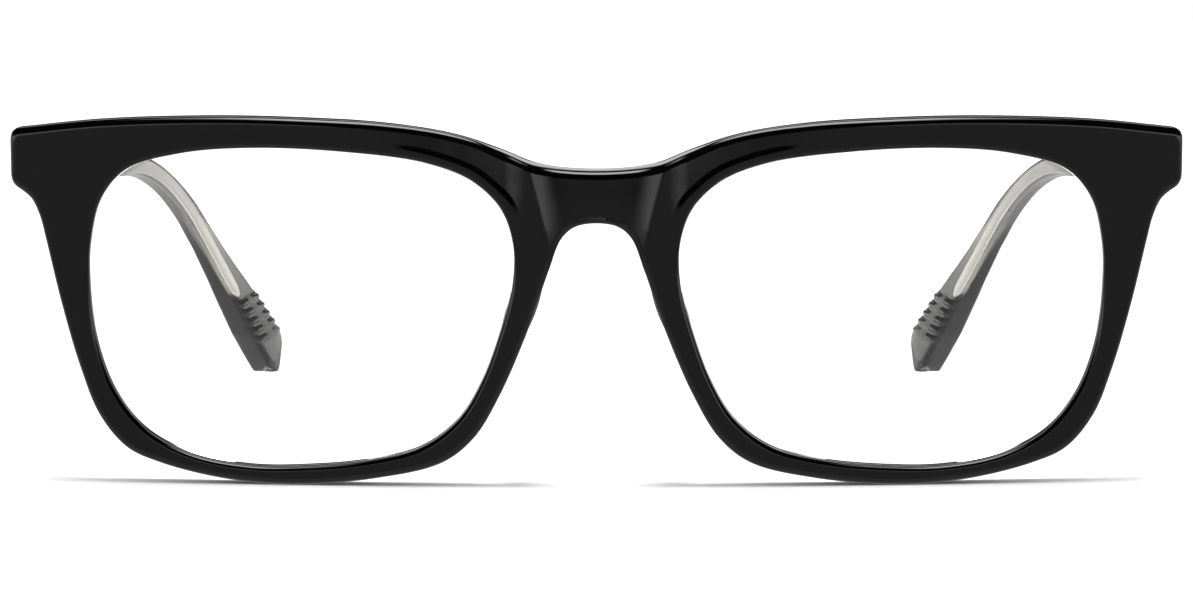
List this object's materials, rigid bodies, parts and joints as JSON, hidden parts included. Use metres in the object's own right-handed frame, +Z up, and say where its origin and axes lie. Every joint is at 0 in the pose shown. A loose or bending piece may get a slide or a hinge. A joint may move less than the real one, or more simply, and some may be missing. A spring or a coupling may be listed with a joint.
{
  "type": "eyeglasses frame",
  "caption": "Full-rim eyeglasses frame with a glossy black front, clear lenses and translucent grey sprung temples with ribbed tips.",
  "frame": {"origin": "under the middle of the open frame, on the table that the rims and the temple tips stand on", "axes": "+X to the wearer's left, +Y back along the temples towards the ears, +Z up; the front faces -Y"},
  "size_m": [0.142, 0.1466, 0.0447],
  "materials": {
    "front_acetate": "gloss",
    "pad_acetate": "gloss",
    "lens": "clear gloss",
    "temple_grey": "translucent gloss",
    "core_metal": "satin",
    "hinge_metal": "polished",
    "screw_metal": "polished",
    "spring_metal": "satin"
  },
  "bodies": {
    "front": {"front": "front_acetate", "lens_left": "lens", "lens_right": "lens", "nose_pad_left": "pad_acetate", "nose_pad_right": "pad_acetate", "front_hinge_left": "hinge_metal", "front_hinge_right": "hinge_metal", "hinge_screw_left": "screw_metal", "hinge_screw_right": "screw_metal"},
    "slider_left": {"slider_left": "hinge_metal", "stop_collar_left": "hinge_metal", "spring_left": "spring_metal"},
    "slider_right": {"slider_right": "hinge_metal", "stop_collar_right": "hinge_metal", "spring_right": "spring_metal"},
    "temple_left": {"temple_left": "temple_grey", "core_wire_left": "core_metal", "spring_housing_left": "hinge_metal"},
    "temple_right": {"temple_right": "temple_grey", "core_wire_right": "core_metal", "spring_housing_right": "hinge_metal"}
  },
  "joints": [
    {"name": "fold_left", "type": "hinge", "parent": "front", "child": "slider_left", "pos_m": [0.0643, -0.05894, 0.0389], "axis": [0, 0.0558, 0.9984], "range_deg": [-5, 84]},
    {"name": "pull_left", "type": "slide", "parent": "slider_left", "child": "temple_left", "axis": [0, 0.9984, -0.0558], "range_m": [0, 0.001], "stiffness_N_per_m": 2000, "springref_m": -0.001, "deforming": ["spring_left"]},
    {"name": "fold_right", "type": "hinge", "parent": "front", "child": "slider_right", "pos_m": [-0.0643, -0.05894, 0.0389], "axis": [0, -0.0558, -0.9984], "range_deg": [-5, 76]},
    {"name": "pull_right", "type": "slide", "parent": "slider_right", "child": "temple_right", "axis": [0, 0.9984, -0.0558], "range_m": [0, 0.001], "stiffness_N_per_m": 2000, "springref_m": -0.001, "deforming": ["spring_right"]}
  ]
}
